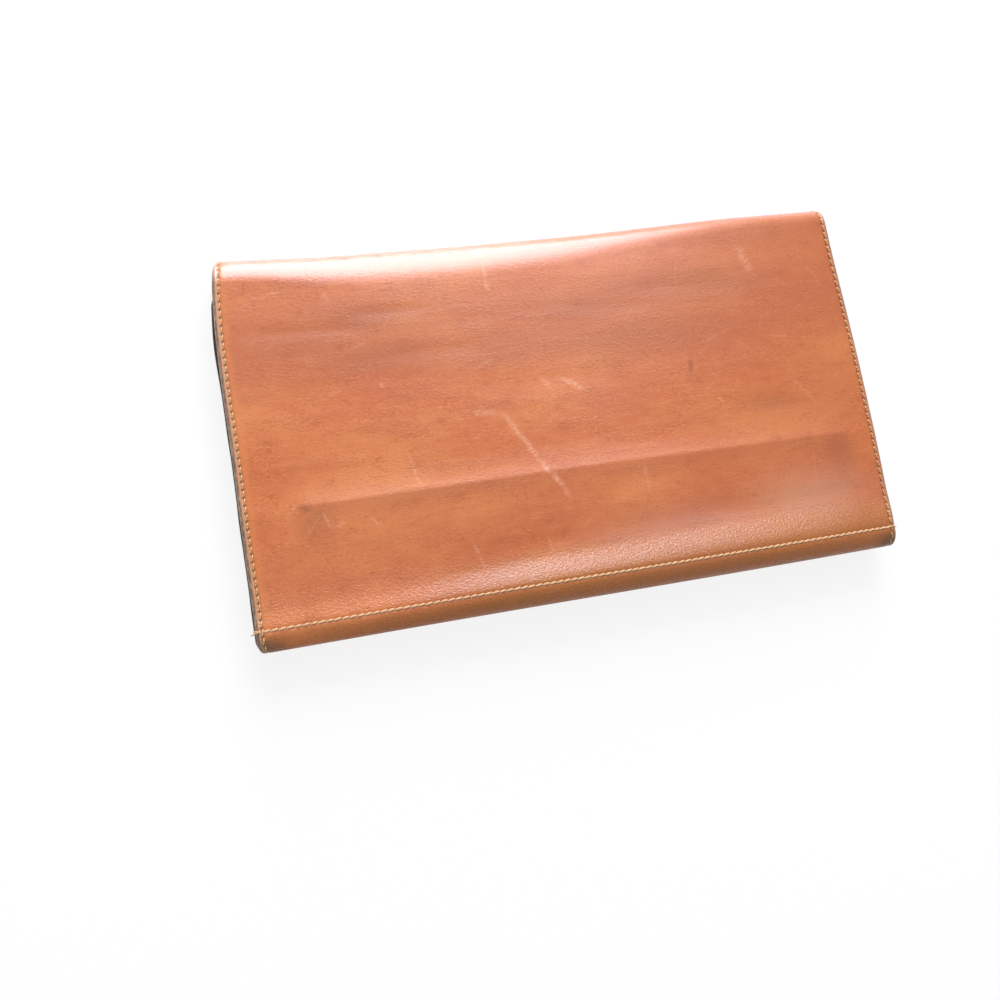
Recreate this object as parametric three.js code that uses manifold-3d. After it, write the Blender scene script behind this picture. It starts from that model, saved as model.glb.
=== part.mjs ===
// Long fold-over clutch wallet, closed and lying on its back half.
// Millimetres. X runs along the fold, +Y points to the fold, +Z is up, the table is z = 0.
import * as THREE from 'three';
import { mergeVertices } from 'three/addons/utils/BufferGeometryUtils.js';
import Module from 'manifold-3d';

const wasm = await Module();
wasm.setup();

// Whole wallet
const WIDTH = 178;
const DEPTH = 99.5;
const FOLD_HEIGHT = 11;

// Sheets
const COVER = 1.4;
const LINING = 0.3;
const CARD_PANEL = 0.6;
const POCKET_WALL = 0.7;
const BOARD = 0.5;
const GUSSET = 0.5;
const FRONT_TURN_IN = 0.9;
const BACK_TURN_IN = 1.0;
const GLUE = 0.05;

// Front relief, measured from the outside of the fold
const PAD_RAMP = 59;
const PAD_EDGE = 65.5;
const PAD_RISE = 0.55;
const SHOULDER_RAMP = 84;
const SHOULDER = 91.8;
const SHOULDER_RISE = 0.45;
const HEM_SEAM = 94.7;
const SEAM_DIP = 0.4;
const BOARD_INSET_LEFT = 15;
const BOARD_INSET_RIGHT = 10;

// Hems and pockets
const FRONT_ROLL_EASE = 7.5;
const FRONT_ROLL_TURN = 32;
const TURN_IN_LENGTH = 11;
const BILL_GAP = 3.4;
const HALVES_GAP = 0.25;
const CARD_MOUTH = 27.75;
const CARD_STEP = 14;
const BILL_MOUTH = 7.75;
const SLIP_MOUTH = 34;
const GUSSET_PLEAT = 9;
const GUSSET_CREASE = 0.9;
const GUSSET_SEAM = 3;
const GUSSET_PROUD = 0.8;
const GUSSET_START = 6.1;

// Seams
const SIDE_SEAM = 1.6;
const SIDE_PITCH = 2.0;
const HEM_PITCH = 1.9;
const DIVIDER_PITCH = 2.4;
const GROOVE_WIDTH = 0.9;
const GROOVE_DEPTH = 0.45;
const DIVIDER_GROOVE = 0.4;
const RECESS = 0.3;
const FOLD_SPLIT = 45;
const FOLD_CUT = 0.3;
const FOLD_STEP = 9;

const FAR = DEPTH / 2;
const NEAR = -DEPTH / 2;
const EDGE = WIDTH / 2;
const FOLD_Y = FAR - FOLD_HEIGHT / 2;
const FOLD_Z = FOLD_HEIGHT / 2;
const fromFold = (distance) => FAR - distance;

// Heights of the stack, from the table up
const BACK_LINING_TOP = COVER + GLUE + LINING;
const WALL_BOTTOM = BACK_LINING_TOP + BILL_GAP;
const SLIP_BOTTOM = WALL_BOTTOM + POCKET_WALL + GLUE;
const BACK_TOP = SLIP_BOTTOM + BACK_TURN_IN;
const FRONT_BOTTOM = BACK_TOP + HALVES_GAP;
const FRONT_INNER = FOLD_HEIGHT - COVER;
const FRONT_LINING_BOTTOM = FRONT_INNER - GLUE - LINING;
const cardPanelBottom = (row) => FRONT_LINING_BOTTOM - row * (GLUE + CARD_PANEL);

const X_AXIS = new THREE.Vector3(1, 0, 0);
const Y_AXIS = new THREE.Vector3(0, 1, 0);
const Z_AXIS = new THREE.Vector3(0, 0, 1);

const COVER_LEATHER = { color: 0xd88662, roughness: 0.5, metalness: 0 };
const INNER_LEATHER = { color: 0xb9714a, roughness: 0.55, metalness: 0 };
const GUSSET_LEATHER = { color: 0x3f2a1f, roughness: 0.7, metalness: 0 };
const LINING_CLOTH = { color: 0x8f7355, roughness: 0.9, metalness: 0 };
const STIFF_BOARD = { color: 0xa39a88, roughness: 0.95, metalness: 0 };
const THREAD = { color: 0xf0cfae, roughness: 0.7, metalness: 0 };

function piece(name, geometry, finish) {
  const mesh = new THREE.Mesh(geometry, new THREE.MeshStandardMaterial(finish));
  mesh.name = name;
  return mesh;
}

// Points on a circle in the (y, z) plane, angles in degrees from +Y
function arc(y, z, radius, fromDegrees, toDegrees, step = FOLD_STEP) {
  const count = Math.max(2, Math.round(Math.abs(toDegrees - fromDegrees) / step));
  return Array.from({ length: count + 1 }, (_, i) => {
    const angle = THREE.MathUtils.degToRad(THREE.MathUtils.lerp(fromDegrees, toDegrees, i / count));
    return new THREE.Vector2(y + radius * Math.cos(angle), z + radius * Math.sin(angle));
  });
}

// A soft slope between two levels of a face
function slope(fromY, toY, fromZ, toZ, count = 5) {
  return Array.from({ length: count + 1 }, (_, i) => {
    const y = THREE.MathUtils.lerp(fromY, toY, i / count);
    return new THREE.Vector2(y, fromZ + (toZ - fromZ) * THREE.MathUtils.smoothstep(i / count, 0, 1));
  });
}

// The path moved sideways, to the left of its direction, mitred at its corners
function offsetPath(path, distanceAt) {
  const leftNormal = (a, b) => new THREE.Vector2(a.y - b.y, b.x - a.x).normalize();
  const last = path.length - 1;
  return path.map((point, i) => {
    const before = leftNormal(path[Math.max(i - 1, 0)], path[Math.max(i, 1)]);
    const after = leftNormal(path[Math.min(i, last - 1)], path[Math.min(i + 1, last)]);
    const mitre = before.clone().add(after).divideScalar(1 + before.dot(after));
    return point.clone().addScaledVector(mitre, distanceAt(point));
  });
}

// The cross-section of a sheet between two offsets of one path
function band(path, fromAt, toAt) {
  return new THREE.Shape([...offsetPath(path, fromAt), ...offsetPath(path, toAt).reverse()]);
}

function sheet(path, thickness, halfWidth) {
  return alongX(band(path, () => 0, () => thickness), -halfWidth, halfWidth);
}

// A flat sheet with its long edges rounded over
function flatSheet(farY, nearY, bottomZ, thickness, fromX, toX) {
  const radius = thickness / 2;
  const middle = bottomZ + radius;
  const farEdge = arc(farY - radius, middle, radius, -90, 90, 45);
  const nearEdge = arc(nearY + radius, middle, radius, 90, 270, 45);
  return alongX(new THREE.Shape([...farEdge, ...nearEdge]), fromX, toX);
}

function alongX(shape, fromX, toX) {
  const geometry = new THREE.ExtrudeGeometry(shape, { depth: toX - fromX, bevelEnabled: false });
  geometry.applyMatrix4(new THREE.Matrix4().makeBasis(Y_AXIS, Z_AXIS, X_AXIS));
  return geometry.translate(fromX, 0, 0);
}

function alongY(shape, fromY, toY) {
  const geometry = new THREE.ExtrudeGeometry(shape, { depth: fromY - toY, bevelEnabled: false });
  geometry.applyMatrix4(new THREE.Matrix4().makeBasis(X_AXIS, Z_AXIS, Y_AXIS.clone().negate()));
  return geometry.translate(0, fromY, 0);
}

function toSolid(geometry) {
  const bare = geometry.clone();
  bare.deleteAttribute('normal');
  bare.deleteAttribute('uv');
  const merged = mergeVertices(bare);
  const vertProperties = merged.attributes.position.array;
  const triVerts = Uint32Array.from(merged.index.array);
  return new wasm.Manifold(new wasm.Mesh({ numProp: 3, vertProperties, triVerts }));
}

function carve(geometry, cutters) {
  const solid = cutters.reduce((rest, cutter) => rest.subtract(toSolid(cutter)), toSolid(geometry));
  const mesh = solid.getMesh();
  const carved = new THREE.BufferGeometry();
  carved.setAttribute('position', new THREE.BufferAttribute(mesh.vertProperties, 3));
  carved.setIndex(new THREE.BufferAttribute(mesh.triVerts, 1));
  carved.computeVertexNormals();
  return carved;
}

// The channel that a side seam's thread is sunk in, cut along the outside path of a sheet
function sideGroove(path, x, depth) {
  const shape = band(path, () => -GROOVE_DEPTH, () => depth);
  return alongX(shape, x - GROOVE_WIDTH / 2, x + GROOVE_WIDTH / 2);
}

// The channel of a seam that runs along X in a level face
function hemGroove(y, z, depth, halfLength) {
  const groove = new THREE.BoxGeometry(2 * halfLength, GROOVE_WIDTH, GROOVE_DEPTH + depth);
  return groove.translate(0, y, z + (GROOVE_DEPTH - depth) / 2);
}

// One seam's thread, unbroken: it swells over each stitch and dives, drawn thin, at each needle hole.
// The route's direction crossed with across points out of the leather.
function seamThread(route, across, pitch, sunk = 0) {
  const path = new THREE.CurvePath();
  route.slice(1).forEach((point, i) => path.add(new THREE.LineCurve3(route[i], point)));
  const rings = 2 * Math.round(path.getLength() / pitch);
  const crown = { size: 0.26, height: -sunk };
  const hole = { size: 0.14, height: -0.2 - sunk };
  const positions = [];
  const index = [];
  for (let ring = 0; ring <= rings; ring += 1) {
    const centre = path.getPointAt(ring / rings);
    const out = path.getTangentAt(ring / rings).cross(across).normalize();
    const { size, height } = ring % 2 ? crown : hole;
    for (const [side, rise] of [[1, 1], [-1, 1], [-1, -1], [1, -1]]) {
      const corner = centre.clone().addScaledVector(across, side * size);
      corner.addScaledVector(out, height + rise * size);
      positions.push(corner.x, corner.y, corner.z);
    }
  }
  for (let ring = 0; ring < rings; ring += 1) {
    for (let corner = 0; corner < 4; corner += 1) {
      const a = 4 * ring + corner;
      const b = 4 * ring + (corner + 1) % 4;
      index.push(a, b, b + 4, a, b + 4, a + 4);
    }
  }
  const end = 4 * rings;
  index.push(0, 2, 1, 0, 3, 2, end, end + 1, end + 2, end, end + 2, end + 3);
  const geometry = new THREE.BufferGeometry();
  geometry.setAttribute('position', new THREE.Float32BufferAttribute(positions, 3));
  geometry.setIndex(index);
  geometry.computeVertexNormals();
  return geometry;
}

const sideRoute = (path, x) => path.map((point) => new THREE.Vector3(x, point.x, point.y));

const SIDES = [['left', -1], ['right', 1]];
const seamX = (side) => side * (EDGE - SIDE_SEAM);

// The fold is cut on two radial planes, half a cut to each side
const CUT_ANGLE = THREE.MathUtils.radToDeg(FOLD_CUT / 2 / (FOLD_HEIGHT / 2));
const LINING_RADIUS = FOLD_HEIGHT / 2 - COVER - GLUE;
const foldArc = (radius, from, to) => arc(FOLD_Y, FOLD_Z, radius, from, to);

function buildFront() {
  const front = new THREE.Group();
  const foldEnd = FOLD_SPLIT + CUT_ANGLE;
  const padTop = FOLD_HEIGHT + PAD_RISE;
  const shoulderTop = padTop + SHOULDER_RISE;
  const seamY = fromFold(HEM_SEAM);
  const seamZ = shoulderTop - SEAM_DIP;

  // The roll eases off from the seam, then turns tightly under to the turn-in
  const turned = THREE.MathUtils.degToRad(FRONT_ROLL_TURN);
  const easeDrop = FRONT_ROLL_EASE * (1 - Math.cos(turned));
  const tight = (seamZ - FRONT_BOTTOM - easeDrop) / (1 + Math.cos(turned));
  const tightY = seamY - (FRONT_ROLL_EASE - tight) * Math.sin(turned);
  const tightZ = FRONT_BOTTOM + tight;
  const ease = arc(seamY, seamZ - FRONT_ROLL_EASE, FRONT_ROLL_EASE, 90, 90 + FRONT_ROLL_TURN);
  const under = arc(tightY, tightZ, tight, 90 + FRONT_ROLL_TURN, 270, 18);
  const turnInEnd = new THREE.Vector2(NEAR + TURN_IN_LENGTH, FRONT_BOTTOM);

  const face = [
    ...foldArc(FOLD_HEIGHT / 2, foldEnd, 90),
    ...slope(fromFold(PAD_RAMP), fromFold(PAD_EDGE), FOLD_HEIGHT, padTop),
    ...slope(fromFold(SHOULDER_RAMP), fromFold(SHOULDER), padTop, shoulderTop),
    ...slope(fromFold(SHOULDER), seamY, shoulderTop, seamZ).slice(1),
    ...ease.slice(1),
  ];
  const seamPath = [...face.slice(1), ...under.slice(1, 3)];
  const pared = (point) => THREE.MathUtils.mapLinear(point.y, FRONT_BOTTOM, seamZ, FRONT_TURN_IN, COVER);
  const thickness = (point) => Math.min(COVER, pared(point));
  const cover = alongX(band([...face, ...under.slice(1), turnInEnd], () => 0, thickness), -EDGE, EDGE);
  const hemHalf = EDGE - SIDE_SEAM - GROOVE_WIDTH;
  const grooves = SIDES.map(([, side]) => sideGroove(seamPath, seamX(side), GROOVE_DEPTH));
  grooves.push(hemGroove(seamY, seamZ, GROOVE_DEPTH, hemHalf));
  front.add(piece('front_cover', carve(cover, grooves), COVER_LEATHER));

  const boardNear = fromFold(SHOULDER);
  const boardSpan = [-EDGE + BOARD_INSET_LEFT, EDGE - BOARD_INSET_RIGHT];
  const board = flatSheet(fromFold(PAD_EDGE), boardNear, FRONT_INNER, BOARD, ...boardSpan);
  front.add(piece('front_stiffener', board, STIFF_BOARD));

  const liningEnd = new THREE.Vector2(seamY, FRONT_INNER - GLUE);
  const liningPath = [...foldArc(LINING_RADIUS, foldEnd, 90), liningEnd];
  front.add(piece('front_lining', sheet(liningPath, LINING, EDGE - 0.6), LINING_CLOTH));

  // Stepped card panels: the deepest one reaches under the turn-in, the others stop at its edge
  const panelHalf = EDGE - 0.4;
  const turnInEdge = NEAR + TURN_IN_LENGTH + FOLD_CUT;
  const divider = [];
  ['high', 'middle', 'low'].forEach((label, i) => {
    const bottom = cardPanelBottom(i + 1);
    const mouth = fromFold(CARD_MOUTH + i * CARD_STEP);
    const nearEnd = i === 0 ? seamY : turnInEdge;
    const panel = flatSheet(mouth, nearEnd, bottom, CARD_PANEL, -panelHalf, panelHalf);
    const channel = new THREE.BoxGeometry(GROOVE_WIDTH, 2 * DEPTH, 2 * DIVIDER_GROOVE);
    channel.translate(0, mouth, bottom);
    front.add(piece(`card_panel_${label}`, carve(panel, [channel]), INNER_LEATHER));
    const start = i === 0 ? mouth - 1.5 : mouth + 0.4;
    const stop = i === 2 ? turnInEdge + 1 : mouth - CARD_STEP + 1.5;
    divider.push(new THREE.Vector3(0, start, bottom), new THREE.Vector3(0, stop, bottom));
  });
  const backAcross = X_AXIS.clone().negate();
  front.add(piece('card_divider_thread', seamThread(divider, backAcross, DIVIDER_PITCH), THREAD));

  for (const [label, side] of SIDES) {
    const thread = seamThread(sideRoute(seamPath, seamX(side)), X_AXIS, SIDE_PITCH);
    front.add(piece(`front_${label}_thread`, thread, THREAD));
  }
  const hemRoute = [-1, 1].map((side) => new THREE.Vector3(side * (hemHalf - 0.2), seamY, seamZ));
  front.add(piece('front_hem_thread', seamThread(hemRoute, Y_AXIS, HEM_PITCH), THREAD));
  return front;
}

function buildSpine() {
  const spine = new THREE.Group();
  const end = FOLD_SPLIT - CUT_ANGLE;
  const outside = foldArc(FOLD_HEIGHT / 2, -end, end);
  const seamPath = outside.slice(1, -1);
  const grooves = SIDES.map(([, side]) => sideGroove(seamPath, seamX(side), GROOVE_DEPTH + RECESS));
  spine.add(piece('spine_cover', carve(sheet(outside, COVER, EDGE), grooves), COVER_LEATHER));
  const lining = sheet(foldArc(LINING_RADIUS, -end, end), LINING, EDGE - 0.6);
  spine.add(piece('spine_lining', lining, LINING_CLOTH));
  for (const [label, side] of SIDES) {
    const thread = seamThread(sideRoute(seamPath, seamX(side)), X_AXIS, SIDE_PITCH, RECESS);
    spine.add(piece(`spine_${label}_thread`, thread, THREAD));
  }
  return spine;
}

function buildBack() {
  const back = new THREE.Group();
  const foldEnd = -FOLD_SPLIT - CUT_ANGLE;
  const roll = BACK_TOP / 2;
  const rollY = NEAR + roll;

  // From the turn-in round the hem and along the table to the fold, so that left is the inside
  const turnInStart = new THREE.Vector2(NEAR + TURN_IN_LENGTH, BACK_TOP);
  const face = foldArc(FOLD_HEIGHT / 2, -90, foldEnd);
  const path = [turnInStart, ...arc(rollY, roll, roll, 90, 270, 18), ...face];
  const pared = (point) => THREE.MathUtils.mapLinear(point.y, 0, BACK_TOP, COVER, BACK_TURN_IN);
  const thickness = (point) => (point.x < 0 ? pared(point) : COVER);
  const cover = alongX(band(path, () => 0, thickness), -EDGE, EDGE);
  const seamPath = [new THREE.Vector2(rollY, 0), ...face.slice(0, -1)];
  const sunkDepth = GROOVE_DEPTH + RECESS;
  const hemHalf = EDGE - SIDE_SEAM - GROOVE_WIDTH;
  const hemY = fromFold(HEM_SEAM);
  const grooves = SIDES.map(([, side]) => sideGroove(seamPath, seamX(side), sunkDepth));
  grooves.push(hemGroove(hemY, BACK_TOP, sunkDepth, hemHalf));
  back.add(piece('back_cover', carve(cover, grooves), COVER_LEATHER));

  const liningStart = new THREE.Vector2(rollY, COVER + GLUE);
  const liningPath = [liningStart, ...foldArc(LINING_RADIUS, -90, foldEnd)];
  back.add(piece('back_lining', sheet(liningPath, LINING, EDGE - 0.6), LINING_CLOTH));

  const wallHalf = EDGE - 0.1;
  const wall = flatSheet(fromFold(BILL_MOUTH), rollY, WALL_BOTTOM, POCKET_WALL, -wallHalf, wallHalf);
  back.add(piece('bill_pocket_wall', wall, INNER_LEATHER));
  const slipNear = NEAR + TURN_IN_LENGTH + FOLD_CUT;
  const slip = flatSheet(fromFold(SLIP_MOUTH), slipNear, SLIP_BOTTOM, POCKET_WALL, -wallHalf, wallHalf);
  back.add(piece('slip_pocket', slip, INNER_LEATHER));

  // Each gusset is a strip pleated inwards between the back cover and the wall of the bill pocket
  const seamEdge = EDGE + GUSSET_PROUD;
  const low = BACK_LINING_TOP + 2 * GLUE;
  const high = WALL_BOTTOM - 2 * GLUE;
  const crease = seamEdge - GUSSET_SEAM - GUSSET_PLEAT;
  const pleat = [
    new THREE.Vector2(seamEdge, high),
    new THREE.Vector2(seamEdge - GUSSET_SEAM, high),
    ...arc(crease, (low + high) / 2, GUSSET_CREASE, 105, 255, 50),
    new THREE.Vector2(seamEdge - GUSSET_SEAM, low),
    new THREE.Vector2(seamEdge, low),
  ];
  const rightShape = band(pleat, () => 0, () => GUSSET);
  for (const [label, side] of SIDES) {
    const mirrored = rightShape.getPoints().map((point) => new THREE.Vector2(side * point.x, point.y));
    const strip = alongY(new THREE.Shape(mirrored), fromFold(GUSSET_START), rollY);
    back.add(piece(`gusset_${label}`, strip, GUSSET_LEATHER));
  }

  for (const [label, side] of SIDES) {
    const thread = seamThread(sideRoute(seamPath, seamX(side)), X_AXIS, SIDE_PITCH, RECESS);
    back.add(piece(`back_${label}_thread`, thread, THREAD));
  }
  const hemRoute = [-1, 1].map((side) => new THREE.Vector3(side * (hemHalf - 0.2), hemY, BACK_TOP));
  back.add(piece('back_hem_thread', seamThread(hemRoute, Y_AXIS, HEM_PITCH, RECESS), THREAD));
  return back;
}

const wallet = new THREE.Group();
wallet.add(buildBack(), buildSpine(), buildFront());

export default wallet;
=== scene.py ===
from functools import partial

import bpy
import numpy as np
from mathutils import Matrix, Vector


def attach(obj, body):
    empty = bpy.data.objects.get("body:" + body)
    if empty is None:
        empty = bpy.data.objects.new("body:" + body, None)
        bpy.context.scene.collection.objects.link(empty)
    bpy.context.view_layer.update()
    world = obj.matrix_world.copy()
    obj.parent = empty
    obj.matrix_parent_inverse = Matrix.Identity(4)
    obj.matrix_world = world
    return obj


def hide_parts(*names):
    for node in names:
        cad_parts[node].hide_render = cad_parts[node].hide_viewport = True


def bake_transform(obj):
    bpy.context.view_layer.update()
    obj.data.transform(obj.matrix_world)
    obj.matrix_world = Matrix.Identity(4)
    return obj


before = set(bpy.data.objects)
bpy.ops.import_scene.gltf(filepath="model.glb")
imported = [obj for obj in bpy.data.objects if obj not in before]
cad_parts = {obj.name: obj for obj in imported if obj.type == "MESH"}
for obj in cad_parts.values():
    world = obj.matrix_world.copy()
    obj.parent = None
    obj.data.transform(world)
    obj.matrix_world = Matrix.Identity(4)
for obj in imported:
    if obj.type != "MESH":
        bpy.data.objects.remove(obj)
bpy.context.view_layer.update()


# Camera: it looks down on the closed wallet from above its near left part, turned a little clockwise.
# The place and the turn were fitted to the corners and seams in the photograph.
eye = Vector((-0.0983, -0.0581, 0.2850))
camera_right = Vector((0.9552, -0.1787, 0.2360)).normalized()
camera_forward = Vector((0.2602, 0.1266, -0.9572)).normalized()
camera_up = camera_right.cross(camera_forward).normalized()
camera_right = camera_forward.cross(camera_up)

camera_data = bpy.data.cameras.new("camera")
camera_data.sensor_width = 36
camera_data.lens = 39.6
camera_data.clip_start = 0.01
camera = bpy.data.objects.new("camera", camera_data)
camera_turn = Matrix((camera_right, camera_up, -camera_forward)).transposed().to_4x4()
camera.matrix_world = Matrix.Translation(eye) @ camera_turn
bpy.context.scene.collection.objects.link(camera)
bpy.context.scene.camera = camera


# Back cover: the lower half of one hide of vegetable-tanned leather, 1.4 mm thick, its sides cut raw.
# It bends round the fold, lies on the table and is turned in at the near edge, over the bill pocket's foot.
MM = 0.001
HALF_WIDTH = 89.0
FAR_Y = 49.75
FOLD_RADIUS = 5.5
FOLD_RUN = FOLD_RADIUS * (np.pi / 2 - 1)
HIDE_THICK = 1.4
SIDE_SEAM = 1.6
SIDE_PITCH = 2.0
HEM_Y = -44.95
HEM_PITCH = 1.9
ROLL_Y = -46.3
TURN_IN_Y = -38.75
BACK_ROLL = 3.45
BACK_ROLL_RUN = FAR_Y - ROLL_Y
BACK_LAP_RUN = BACK_ROLL_RUN + BACK_ROLL * np.pi
BACK_HEM_RUN = BACK_LAP_RUN + (HEM_Y - ROLL_Y)
BACK_RUN_END = BACK_LAP_RUN + (TURN_IN_Y - ROLL_Y)
BACK_TURN_IN = 1.0
BACK_PARED_OVER = 11.0
BACK_EDGE_ROUND = 0.8
BACK_SEAM_GROOVE = 0.45
BACK_SIDE_PHASE = -2.5
BACK_SIDE_END = BACK_ROLL_RUN + 3.0
BACK_CORNER = BACK_ROLL_RUN + 1.0
BACK_COLUMN = 1.5
NO_CORNER = 1000.0


def ease(t):
    """Zero up to 0, one from 1 on, and 3t^2 - 2t^3 between."""
    t = np.clip(t, 0.0, 1.0)
    return t * t * (3.0 - 2.0 * t)


def back_path(across, run):
    """Section of the back cover, outside: a quarter circle down from the middle of the fold, level along
    the table, a half circle up round the hem, then level back. run is the way from the far edge."""
    turn = np.clip((run + FOLD_RUN) / FOLD_RADIUS, 0, np.pi / 2)
    roll = np.clip((run - BACK_ROLL_RUN) / BACK_ROLL, 0, np.pi)
    level = np.clip(run, FOLD_RADIUS, BACK_ROLL_RUN) - FOLD_RADIUS
    back_again = np.maximum(run - BACK_ROLL_RUN - BACK_ROLL * np.pi, 0)
    y = FAR_Y - FOLD_RADIUS * (1 - np.cos(turn)) - level - BACK_ROLL * np.sin(roll) + back_again
    z = FOLD_RADIUS * (1 - np.sin(turn)) + BACK_ROLL * (1 - np.cos(roll))
    return y + fold_bow(across) * fold_fade(run), z + 0 * across


def outward(path, across, run, side):
    """Normal of a section, in y and z: the path's direction over 0.1 mm, turned a quarter."""
    before = path(across, run - 0.05)
    after = path(across, run + 0.05)
    step_y = after[0] - before[0]
    step_z = after[1] - before[1]
    length = np.hypot(step_y, step_z)
    return side * step_z / length, -side * step_y / length


def trimmed(across, run, near_corner=NO_CORNER):
    """Place across after the sewn layers were trimmed by eye: the left cut comes in by 2.3 mm at the fold,
    by a quarter of that 11 mm on, and runs out at the hem, the right one is left wide up to the hem, both
    waver by a tenth of a millimetre, and the hide's corners are rounded at the fold and, from near_corner
    on, at the hem."""
    left = 2.6 * np.exp(-np.maximum(run, 0) / 11) - 0.35 - 0.9 * ease((run - 45) / 60)
    right = -0.75 * ease((95 - run) / 9) - 0.55 * np.exp(-((run - 48) / 22) ** 2)
    shared = 0.3 * ease((2 - run) / 4) + 0.7 * ease((run - near_corner) / 4)
    shared = shared + 0.08 * np.sin(run / 15 + 1) + 0.05 * np.sin(run / 6.1)
    share = across / HALF_WIDTH
    return across - share * (shared + np.where(across < 0, left, right))


def fold_bow(across):
    """How far the fold stands back of a straight line: it is slack at both ends, most at the right."""
    slack = 1.35 * ease((across - 5) / 60) + 1.0 * ease((-55 - across) / 34)
    return slack - 0.2 * np.exp(-((across + 22) / 14) ** 2)


def fold_fade(run):
    """One round the fold, and down to zero 26 mm away from it."""
    return ease((26 - run) / 26)


def side_edge(across, run, round_over, groove, phase):
    """How far a hide sinks near its sides: the raw corner rounded over, and a channel drawn in by the side
    seam, a fifth deeper at each needle hole."""
    inset = HALF_WIDTH - np.abs(across)
    left = np.clip(round_over - inset, 0, round_over)
    corner = round_over - np.sqrt(round_over ** 2 - left ** 2)
    pull = 1.0 + 0.20 * np.cos(2 * np.pi * (run - phase) / SIDE_PITCH)
    return corner + groove * pull * np.exp(-((inset - SIDE_SEAM) / 0.5) ** 2)


def moved_in(path, side, corner, across, run, inset):
    """A cover's section in millimetres, moved in by inset and trimmed at its sides."""
    y, z = path(across, run)
    out_y, out_z = outward(path, across, run, side)
    x = trimmed(across, run, corner)
    return np.stack([x, y - inset * out_y, z - inset * out_z], -1)


back_moved_in = partial(moved_in, back_path, -1, BACK_CORNER)


def back_face(across, run):
    """Outside of the back cover: its section, sunk at the sides and the side seams."""
    sink = side_edge(across, run, BACK_EDGE_ROUND, BACK_SEAM_GROOVE, BACK_SIDE_PHASE)
    return back_moved_in(across, run, sink)


def hide_columns(spacing):
    """Places across the hide: close together at the raw sides and the seams, evenly spaced between."""
    margin = np.array([0, 0.1, 0.25, 0.45, 0.7, 0.95, 1.2, 1.4, 1.6, 1.8, 2.0, 2.3, 2.7, 3.2])
    middle = HALF_WIDTH - 4.0
    count = int(round(2 * middle / spacing)) + 1
    between = np.linspace(-middle, middle, count)
    return np.concatenate([margin - HALF_WIDTH, between, (HALF_WIDTH - margin)[::-1]])


def hide_grid(runs, columns):
    """Every place across at every place along: across, run, and both together as the lie on the hide."""
    run_grid, across_grid = np.meshgrid(runs, columns, indexing="ij")
    return across_grid, run_grid, np.stack([across_grid, run_grid], -1)


def piece_from(name, points, faces, places, material):
    """A smooth-shaded mesh object in metres, with its lie on the surface as the attribute called hide."""
    mesh = bpy.data.meshes.new(name)
    mesh.from_pydata((points * MM).tolist(), [], faces)
    hide = mesh.attributes.new("hide", "FLOAT_VECTOR", "POINT")
    hide.data.foreach_set("vector", places.astype(np.float32).ravel())
    mesh.polygons.foreach_set("use_smooth", np.ones(len(mesh.polygons), bool))
    mesh.set_sharp_from_angle(angle=np.radians(38))
    mesh.materials.append(material)
    mesh.update()
    made = bpy.data.objects.new(name, mesh)
    bpy.context.scene.collection.objects.link(made)
    return made


def closed_sheet(name, face, behind, lie, material):
    """A closed sheet from two grids of points in millimetres, face and back, joined by a rim on all four
    edges. lie is each place across and along; the attribute's third part is 0 on the face, 1 behind."""
    rows, columns = face.shape[:2]
    front, rear = np.arange(2 * rows * columns).reshape(2, rows, columns)
    strips = [
        (front[:-1, :-1], front[1:, :-1], front[1:, 1:], front[:-1, 1:]),
        (rear[:-1, :-1], rear[:-1, 1:], rear[1:, 1:], rear[1:, :-1]),
        (front[:-1, 0], rear[:-1, 0], rear[1:, 0], front[1:, 0]),
        (front[:-1, -1], front[1:, -1], rear[1:, -1], rear[:-1, -1]),
        (front[0, :-1], front[0, 1:], rear[0, 1:], rear[0, :-1]),
        (front[-1, :-1], rear[-1, :-1], rear[-1, 1:], front[-1, 1:]),
    ]
    faces = np.concatenate([np.stack(corners, -1).reshape(-1, 4) for corners in strips])
    points = np.concatenate([face.reshape(-1, 3), behind.reshape(-1, 3)])
    depth = np.repeat([0.0, 1.0], rows * columns)
    places = np.column_stack([np.tile(lie.reshape(-1, 2), (2, 1)), depth])
    return piece_from(name, points, faces.tolist(), places, material)


def linear(colour):
    """An sRGB hex colour as linear red, green, blue and alpha."""
    parts = np.array([int(colour[i:i + 2], 16) for i in (1, 3, 5)]) / 255
    parts = np.where(parts <= 0.04045, parts / 12.92, ((parts + 0.055) / 1.055) ** 2.4)
    return (*parts.tolist(), 1.0)


def fill(tree, made, inputs):
    """Fills a node's inputs, in order or by key, with nodes, their sockets or plain values."""
    if not isinstance(inputs, dict):
        inputs = dict(enumerate(inputs))
    for key, value in inputs.items():
        if isinstance(value, bpy.types.Node):
            value = next(socket for socket in value.outputs if socket.enabled)
        if isinstance(value, bpy.types.NodeSocket):
            tree.links.new(value, made.inputs[key])
        else:
            made.inputs[key].default_value = value


def add_node(tree, kind, inputs=(), **settings):
    """Adds one node: settings are its properties, and inputs fill its sockets."""
    made = tree.nodes.new("ShaderNode" + kind)
    for key, value in settings.items():
        setattr(made, key, value)
    fill(tree, made, inputs)
    return made


def new_material(name):
    """A node material: itself, what adds a node to it and what fills its shader."""
    material = bpy.data.materials.new(name)
    material.use_nodes = True
    tree = material.node_tree
    return material, partial(add_node, tree), partial(fill, tree, tree.nodes["Principled BSDF"])


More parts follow.
